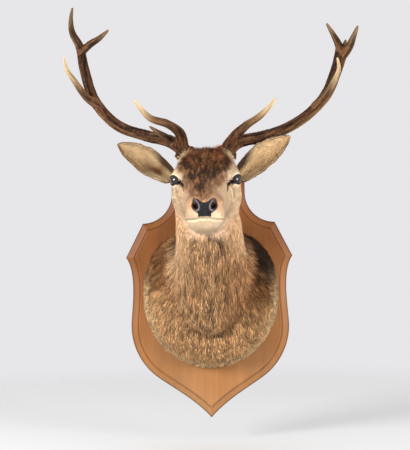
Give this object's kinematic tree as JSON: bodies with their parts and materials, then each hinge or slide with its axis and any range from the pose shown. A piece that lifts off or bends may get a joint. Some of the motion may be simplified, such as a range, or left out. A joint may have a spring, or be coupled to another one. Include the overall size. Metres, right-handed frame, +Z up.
{
  "type": "red deer stag head mount",
  "caption": "Life-size taxidermy head and neck of a red deer stag with branched antlers, facing forward from a shield-shaped wooden wall board.",
  "frame": {"origin": "centre of the board's back face, at half its height and width, where it lies against the wall", "axes": "+Z up, +Y into the wall, the stag looks along -Y and its own left is +X"},
  "size_m": [0.7323, 0.6332, 1.0667],
  "materials": {
    "board_wood": "warm brown varnished softwood, satin, with straight upright grain and a worn moulded edge",
    "fur": "short dense deer hair: tan and grey-brown on the neck, dark brown forehead, cream cheeks, muzzle and ears",
    "antler": "dark brown grooved antler, satin, paler and smooth towards ivory tips",
    "nose_leather": "near-black pebbled nose leather with a soft blue-grey sheen",
    "eye_glass": "glossy dark brown taxidermy glass eye, opaque"
  },
  "bodies": {
    "root": {"board": "board_wood", "shoulders": "fur", "neck": "fur", "head": "fur", "lower_jaw": "fur", "ear_left": "fur", "ear_right": "fur", "beam_lower_left": "antler", "beam_upper_left": "antler", "brow_tine_left": "antler", "trez_tine_left": "antler", "crown_inner_tine_left": "antler", "crown_outer_tine_left": "antler", "crown_back_tine_left": "antler", "beam_lower_right": "antler", "beam_upper_right": "antler", "brow_tine_right": "antler", "bez_tine_right": "antler", "trez_tine_right": "antler", "crown_back_tine_right": "antler", "nose": "nose_leather", "eye_left": "eye_glass", "eye_right": "eye_glass"}
  },
  "joints": []
}
